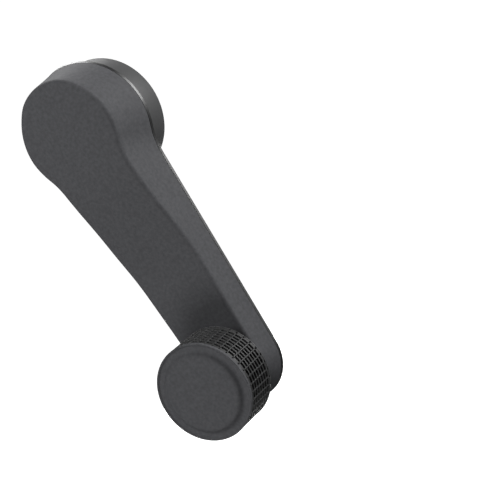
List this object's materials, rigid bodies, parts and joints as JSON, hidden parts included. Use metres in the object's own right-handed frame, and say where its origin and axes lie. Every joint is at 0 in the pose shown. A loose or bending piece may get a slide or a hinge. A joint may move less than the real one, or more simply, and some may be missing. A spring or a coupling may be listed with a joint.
{
  "type": "window winder crank",
  "caption": "Car door window winder crank: flared arm with a ribbed back, a sliding release collar around the splined spindle bore, and a free-turning knurled knob.",
  "frame": {"origin": "on the spindle bore's axis, in the plane of the collar's rear edge that meets the door trim", "axes": "+Y along the spindle bore, out of its mouth and into the door, so -Y faces the person; -Z from the bore to the knob; +X to the right seen from the person's side"},
  "size_m": [0.0468, 0.0438, 0.1352],
  "materials": {
    "soft_touch_cover": "soft-touch lacquer, very fine eggshell texture",
    "frame_black": "satin moulded black plastic",
    "socket_nylon": "warm grey glass-filled nylon",
    "collar_black": "satin moulded black plastic",
    "lock_acetal": "light grey acetal, satin",
    "knob_black": "satin moulded black plastic",
    "grip_black": "moulded black plastic with a grid of small pockets",
    "soft_touch_cap": "soft-touch lacquer, very fine eggshell texture",
    "axle_white": "natural white acetal",
    "washer_steel": "thin rolled spring steel"
  },
  "bodies": {
    "arm": {"arm_cover": "soft_touch_cover", "arm_frame": "frame_black", "spindle_socket": "socket_nylon", "knob_axle": "axle_white", "friction_washer": "washer_steel"},
    "release": {"collar": "collar_black", "lock_ring": "lock_acetal"},
    "knob": {"knob_core": "knob_black", "knob_grip": "grip_black", "knob_cap": "soft_touch_cap"}
  },
  "joints": [
    {"name": "knob_spin", "type": "hinge", "parent": "arm", "child": "knob", "pos_m": [0, -0.03, -0.0943], "axis": [0, -1, 0], "continuous": true},
    {"name": "collar_release", "type": "slide", "parent": "arm", "child": "release", "axis": [0, 0, -1], "range_m": [0, 0.0026], "stiffness_N_per_m": 1500, "springref_m": -0.0008}
  ]
}
